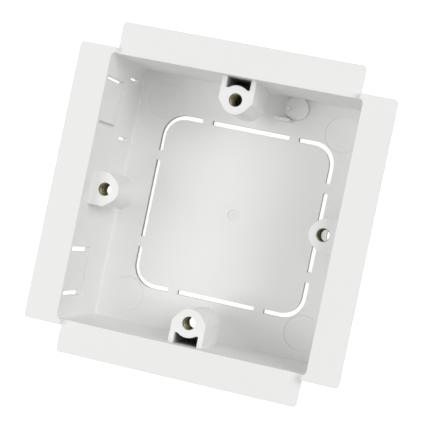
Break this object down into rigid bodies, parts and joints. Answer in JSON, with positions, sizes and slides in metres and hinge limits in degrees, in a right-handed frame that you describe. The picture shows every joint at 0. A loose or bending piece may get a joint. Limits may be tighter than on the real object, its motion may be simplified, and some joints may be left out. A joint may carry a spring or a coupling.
{
  "type": "back box",
  "caption": "Open-fronted moulded back box with split flanges, screw lugs with brass inserts, slotted floor knock-out panel and an earth terminal holder.",
  "frame": {"origin": "centre of the back face", "axes": "+X right, +Y up the wall, +Z out of the open front"},
  "size_m": [0.0858, 0.0896, 0.037],
  "materials": {
    "white_plastic": "satin",
    "brass": "machined"
  },
  "bodies": {
    "root": {"box_body": "white_plastic", "insert_top": "brass", "insert_left": "brass", "insert_bottom": "brass", "insert_right": "brass"}
  },
  "joints": []
}
